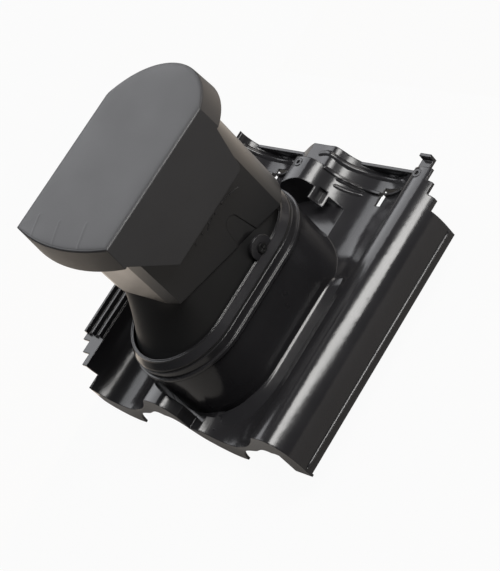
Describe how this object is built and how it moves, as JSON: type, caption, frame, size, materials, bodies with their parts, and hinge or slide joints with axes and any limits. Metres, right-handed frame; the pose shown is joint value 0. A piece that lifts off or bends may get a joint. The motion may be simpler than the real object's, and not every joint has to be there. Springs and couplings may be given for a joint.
{
  "type": "roof tile vent",
  "caption": "Double pantile with a raised collar carrying a ventilation hood that tilts on two side pivots, with a cap, side flaps and a round duct spigot below.",
  "frame": {"origin": "on the duct spigot's axis, level with the crests of the tile's rolls", "axes": "+X across the roof towards the last roll, +Y up the slope, +Z square to the tile and away from the roof"},
  "size_m": [0.4491, 0.41, 0.3529],
  "materials": {
    "tile_gloss": "glossy",
    "hood_matte": "fine matte grain",
    "shell_matte": "matte",
    "seal_rubber": "dull",
    "grille_plastic": "matte"
  },
  "bodies": {
    "tile": {"base_tile": "tile_gloss", "collar_seal": "seal_rubber", "collar_ring": "tile_gloss"},
    "hood": {"duct_shell": "shell_matte", "duct_spigot": "grille_plastic", "hood_body": "hood_matte", "insect_grille": "grille_plastic", "hood_cap": "hood_matte", "pivot_pin_right": "grille_plastic", "pivot_pin_left": "grille_plastic"}
  },
  "joints": [
    {"name": "hood_tilt", "type": "hinge", "parent": "tile", "child": "hood", "pos_m": [0, 0.0446, 0.0653], "axis": [1, 0, 0], "range_deg": [0, 15]}
  ]
}
